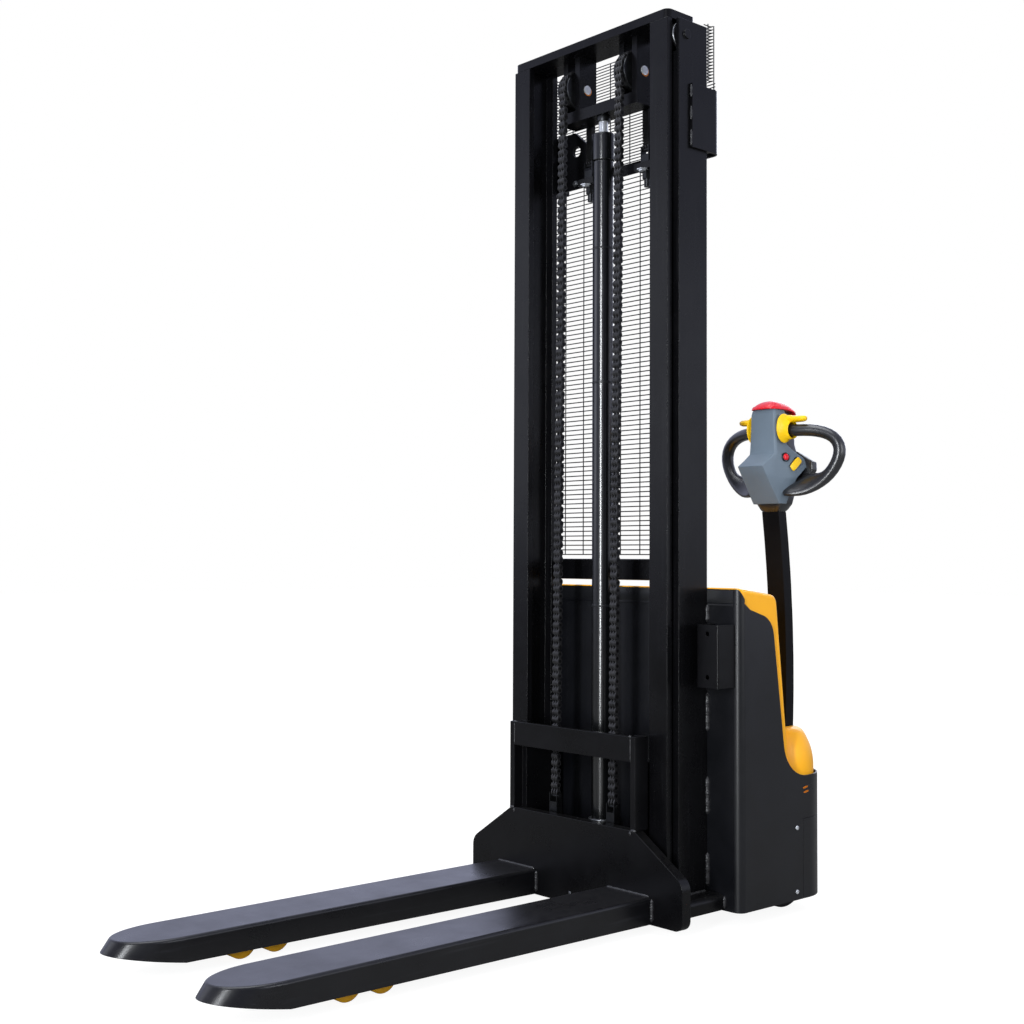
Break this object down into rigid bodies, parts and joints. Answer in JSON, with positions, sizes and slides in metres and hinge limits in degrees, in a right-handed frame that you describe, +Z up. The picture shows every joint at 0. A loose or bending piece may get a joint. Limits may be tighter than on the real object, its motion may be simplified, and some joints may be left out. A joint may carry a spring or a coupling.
{
  "type": "electric stacker",
  "caption": "Fork-over electric stacker: two-stage channel mast with chain lift, forks over roller legs, cased drive body and a steering, tilting tiller.",
  "frame": {"origin": "on the floor under the middle of the overall box; the mast's middle plane is 49 mm to the operator's right of it, at X = -0.049", "axes": "+Z up, forks along -Y, +X to the operator's left (the tiller's side)"},
  "size_m": [0.9077, 1.736, 2.272],
  "materials": {
    "frame_black": "satin black powder coat",
    "mast_black": "semi-gloss black paint over rolled steel",
    "fork_black": "satin blue-black paint",
    "guard_black": "black coated wire",
    "body_black": "fine-grained black powder coat",
    "cover_yellow": "moulded golden-yellow plastic",
    "black_plastic": "fine-textured black plastic",
    "head_grey": "fine-textured slate-grey plastic",
    "switch_yellow": "glossy yellow plastic",
    "button_red": "glossy red plastic",
    "chain_steel": "oiled steel",
    "roller_steel": "turned bearing steel",
    "zinc_steel": "bright zinc plate",
    "rod_chrome": "hard chrome, polished",
    "roller_yellow": "satin polyurethane",
    "drive_rubber": "dark polyurethane tread",
    "cast_grey": "cast iron, painted",
    "battery_case": "ribbed battery case"
  },
  "bodies": {
    "chassis": {"outer_rails": "mast_black", "upper_tie": "mast_black", "tie_chain_anchors": "zinc_steel", "middle_tie": "mast_black", "upper_guard": "guard_black", "lower_guard": "guard_black", "lift_cylinder": "mast_black", "cylinder_gland": "mast_black", "base_frame": "frame_black", "support_leg_left": "frame_black", "support_leg_right": "frame_black", "front_panel": "body_black", "side_panel_left": "body_black", "side_panel_right": "body_black", "rear_skirt": "body_black", "chassis_frame": "frame_black", "rear_deck": "black_plastic", "top_cover": "cover_yellow", "accessory_bracket": "frame_black", "battery_pack": "battery_case", "hydraulic_unit": "cast_grey"},
    "carriage": {"fork_left": "fork_black", "fork_right": "fork_black", "carriage_plate": "frame_black", "carriage_uprights": "frame_black", "carriage_cross_members": "frame_black", "carriage_chain_anchors": "zinc_steel"},
    "carriage_high_roller_pair": {"carriage_high_rollers": "roller_steel"},
    "carriage_low_roller_pair": {"carriage_low_rollers": "roller_steel"},
    "inner_mast": {"inner_rails": "mast_black", "mast_head": "mast_black", "inner_foot_tie": "mast_black", "pulley_pins": "zinc_steel", "chain_front_strands": "chain_steel", "chain_rear_strands": "chain_steel", "piston_rod": "rod_chrome"},
    "pulleys": {"chain_pulleys": "roller_steel"},
    "inner_roller_pair": {"inner_mast_rollers": "roller_steel"},
    "outer_roller_pair": {"outer_mast_rollers": "roller_steel"},
    "bogie_left_body": {"bogie_left": "frame_black"},
    "bogie_right_body": {"bogie_right": "frame_black"},
    "load_left_front": {"load_roller_left_front": "roller_yellow"},
    "load_left_rear": {"load_roller_left_rear": "roller_yellow"},
    "load_right_front": {"load_roller_right_front": "roller_yellow"},
    "load_right_rear": {"load_roller_right_rear": "roller_yellow"},
    "steer": {"steer_yoke": "cast_grey", "drive_motor": "cast_grey", "drive_dome": "cover_yellow"},
    "drive_wheel": {"drive_hub": "cast_grey", "drive_tyre": "drive_rubber"},
    "tiller": {"tiller_arm": "frame_black", "tiller_head_shell": "head_grey", "tiller_handle": "black_plastic"},
    "throttle": {"butterfly_switch": "switch_yellow"},
    "safety": {"safety_button": "button_red"},
    "horn": {"horn_button": "button_red"},
    "rocker": {"lift_rocker": "switch_yellow"},
    "stop": {"emergency_stop": "button_red"},
    "caster": {"caster_yoke": "cast_grey"},
    "caster_roller": {"caster_wheel": "drive_rubber"}
  },
  "joints": [
    {"name": "mast_lift", "type": "slide", "parent": "chassis", "child": "inner_mast", "axis": [0, 0, 1], "range_m": [0, 1.65], "deforming": ["chain_rear_strands"]},
    {"name": "carriage_lift", "type": "slide", "parent": "inner_mast", "child": "carriage", "axis": [0, 0, 1], "range_m": [0, 1.65], "deforming": ["chain_front_strands"]},
    {"name": "pulley_spin", "type": "hinge", "parent": "inner_mast", "child": "pulleys", "pos_m": [-0.049, 0.427, 2.165], "axis": [1, 0, 0], "continuous": true},
    {"name": "outer_roller_spin", "type": "hinge", "parent": "chassis", "child": "outer_roller_pair", "pos_m": [-0.049, 0.413, 2.213], "axis": [1, 0, 0], "continuous": true},
    {"name": "inner_roller_spin", "type": "hinge", "parent": "inner_mast", "child": "inner_roller_pair", "pos_m": [-0.049, 0.438, 0.15], "axis": [1, 0, 0], "continuous": true},
    {"name": "carriage_high_roller_spin", "type": "hinge", "parent": "carriage", "child": "carriage_high_roller_pair", "pos_m": [-0.049, 0.413, 0.354], "axis": [1, 0, 0], "continuous": true},
    {"name": "carriage_low_roller_spin", "type": "hinge", "parent": "carriage", "child": "carriage_low_roller_pair", "pos_m": [-0.049, 0.413, 0.142], "axis": [1, 0, 0], "continuous": true},
    {"name": "bogie_left_pivot", "type": "hinge", "parent": "chassis", "child": "bogie_left_body", "pos_m": [0.156, -0.5, 0.043], "axis": [1, 0, 0], "range_deg": [-5, 5]},
    {"name": "load_left_front_spin", "type": "hinge", "parent": "bogie_left_body", "child": "load_left_front", "pos_m": [0.156, -0.545, 0.037], "axis": [1, 0, 0], "continuous": true},
    {"name": "load_left_rear_spin", "type": "hinge", "parent": "bogie_left_body", "child": "load_left_rear", "pos_m": [0.156, -0.455, 0.037], "axis": [1, 0, 0], "continuous": true},
    {"name": "bogie_right_pivot", "type": "hinge", "parent": "chassis", "child": "bogie_right_body", "pos_m": [-0.254, -0.5, 0.043], "axis": [1, 0, 0], "range_deg": [-5, 5]},
    {"name": "load_right_front_spin", "type": "hinge", "parent": "bogie_right_body", "child": "load_right_front", "pos_m": [-0.254, -0.545, 0.037], "axis": [1, 0, 0], "continuous": true},
    {"name": "load_right_rear_spin", "type": "hinge", "parent": "bogie_right_body", "child": "load_right_rear", "pos_m": [-0.254, -0.455, 0.037], "axis": [1, 0, 0], "continuous": true},
    {"name": "steer_turn", "type": "hinge", "parent": "chassis", "child": "steer", "pos_m": [0.254, 0.768, 0.09], "axis": [0, 0, 1], "range_deg": [-85, 85]},
    {"name": "drive_wheel_spin", "type": "hinge", "parent": "steer", "child": "drive_wheel", "pos_m": [0.254, 0.768, 0.09], "axis": [1, 0, 0], "continuous": true},
    {"name": "tiller_tilt", "type": "hinge", "parent": "steer", "child": "tiller", "pos_m": [0.254, 0.778, 0.392], "axis": [-1, 0, 0], "range_deg": [0, 75], "stiffness_Nm_per_rad": 40, "springref_deg": -20.05},
    {"name": "throttle_turn", "type": "hinge", "parent": "tiller", "child": "throttle", "pos_m": [0.254, 0.746, 1.246], "axis": [1, 0, 0], "range_deg": [-12, 12], "stiffness_Nm_per_rad": 1},
    {"name": "safety_press", "type": "slide", "parent": "tiller", "child": "safety", "axis": [0, 0, -1], "range_m": [0, 0.006], "stiffness_N_per_m": 900, "springref_m": -0.008},
    {"name": "horn_press", "type": "slide", "parent": "tiller", "child": "horn", "axis": [-0.8384, 0, -0.545], "range_m": [0, 0.0025], "stiffness_N_per_m": 1200, "springref_m": -0.002},
    {"name": "rocker_tilt", "type": "hinge", "parent": "tiller", "child": "rocker", "pos_m": [0.30621, 0.76, 1.15356], "axis": [0, 1, 0], "range_deg": [-6, 6], "stiffness_Nm_per_rad": 0.3},
    {"name": "stop_press", "type": "slide", "parent": "chassis", "child": "stop", "axis": [0, -0.9935, -0.1141], "range_m": [0, 0.005]},
    {"name": "caster_swivel", "type": "hinge", "parent": "chassis", "child": "caster", "pos_m": [-0.352, 0.768, 0.05], "axis": [0, 0, 1], "continuous": true},
    {"name": "caster_wheel_spin", "type": "hinge", "parent": "caster", "child": "caster_roller", "pos_m": [-0.352, 0.8, 0.05], "axis": [1, 0, 0], "continuous": true}
  ],
  "couplings": [
    {"joint": "carriage_lift", "follows": "mast_lift", "ratio": 1},
    {"joint": "pulley_spin", "follows": "mast_lift", "rad_per_m": -19.231},
    {"joint": "outer_roller_spin", "follows": "mast_lift", "rad_per_m": 28.818},
    {"joint": "inner_roller_spin", "follows": "mast_lift", "rad_per_m": -28.818},
    {"joint": "carriage_high_roller_spin", "follows": "mast_lift", "rad_per_m": 28.818},
    {"joint": "carriage_low_roller_spin", "follows": "mast_lift", "rad_per_m": -28.818}
  ]
}
